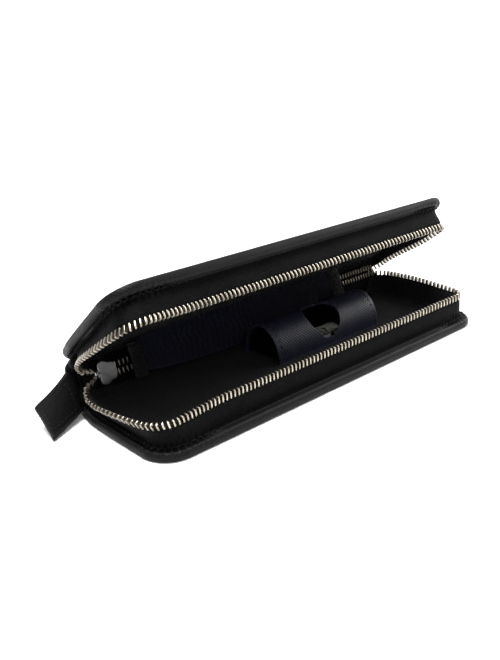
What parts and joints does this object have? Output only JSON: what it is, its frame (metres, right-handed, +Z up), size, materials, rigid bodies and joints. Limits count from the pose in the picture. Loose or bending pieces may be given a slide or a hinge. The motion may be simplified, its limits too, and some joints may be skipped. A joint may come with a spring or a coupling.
{
  "type": "fountain pen case",
  "caption": "Zip-around clamshell pen case with leather covers over board, a fabric-lined interior and an arched pen sleeve, shown with its lid part open.",
  "frame": {"origin": "centre of the bottom cover's underside, the face the case lies on", "axes": "+X along the case's length to the end without the slider, +Y from the opening to the spine, +Z up"},
  "size_m": [0.1907, 0.0664, 0.0566],
  "materials": {
    "black_leather": "cross-grained, semi-matt",
    "gusset_leather": "soft, matt",
    "navy_leather": "cross-grained, semi-matt",
    "lining_fabric": "fine ribbed weave, matt",
    "sleeve_satin": "satin",
    "zip_tape": "woven tape, matt",
    "zip_teeth": "polished, warm nickel",
    "slider_metal": "polished gunmetal",
    "board": "plain grey board"
  },
  "bodies": {
    "bottom": {"bottom_cover_leather": "black_leather", "bottom_board": "board", "bottom_lining": "lining_fabric", "bottom_gusset": "gusset_leather", "bottom_wall_lining": "lining_fabric", "bottom_zip_tape": "zip_tape", "bottom_zip_teeth": "zip_teeth", "pen_sleeve": "navy_leather", "pen_sleeve_lining": "sleeve_satin"},
    "lid": {"lid_cover_leather": "black_leather", "lid_board": "board", "lid_lining": "lining_fabric", "lid_gusset": "gusset_leather", "lid_wall_lining": "lining_fabric", "lid_zip_tape": "zip_tape", "lid_zip_teeth": "zip_teeth"},
    "spine": {"spine_leather": "gusset_leather", "spine_lining_strip": "navy_leather", "spine_tab_left": "black_leather", "spine_tab_right": "black_leather", "zip_chain_left": "zip_teeth", "zip_chain_right": "zip_teeth", "chain_tape_left_upper": "zip_tape", "chain_tape_left_lower": "zip_tape", "chain_tape_right_upper": "zip_tape", "chain_tape_right_lower": "zip_tape"},
    "slider": {"slider_inner_plate": "slider_metal", "slider_outer_plate": "slider_metal", "slider_post": "slider_metal", "slider_bridge": "slider_metal"},
    "link": {"pull_link": "slider_metal"},
    "strap": {"pull_strap": "black_leather"}
  },
  "joints": [
    {"name": "cover_hinge", "type": "hinge", "parent": "bottom", "child": "lid", "pos_m": [0, 0.0255, 0.0126], "axis": [-1, 0, 0], "range_deg": [-38, 48]},
    {"name": "spine_flex", "type": "hinge", "parent": "bottom", "child": "spine", "pos_m": [0, 0.0255, 0.0126], "axis": [-1, 0, 0], "range_deg": [-19, 24], "deforming": ["spine_leather"]},
    {"name": "slider_travel", "type": "slide", "parent": "spine", "child": "slider", "axis": [1, 0, 0], "range_m": [0, 0.002]},
    {"name": "link_swing", "type": "hinge", "parent": "slider", "child": "link", "pos_m": [-0.0752, 0.02904, 0.01136], "axis": [0, 0.3297, 0.9441], "range_deg": [-24, 0]},
    {"name": "strap_swing", "type": "hinge", "parent": "link", "child": "strap", "pos_m": [-0.0836, 0.02904, 0.01136], "axis": [0, 0.3297, 0.9441], "range_deg": [-30, 5]}
  ],
  "couplings": [
    {"joint": "spine_flex", "follows": "cover_hinge", "ratio": 0.5}
  ]
}
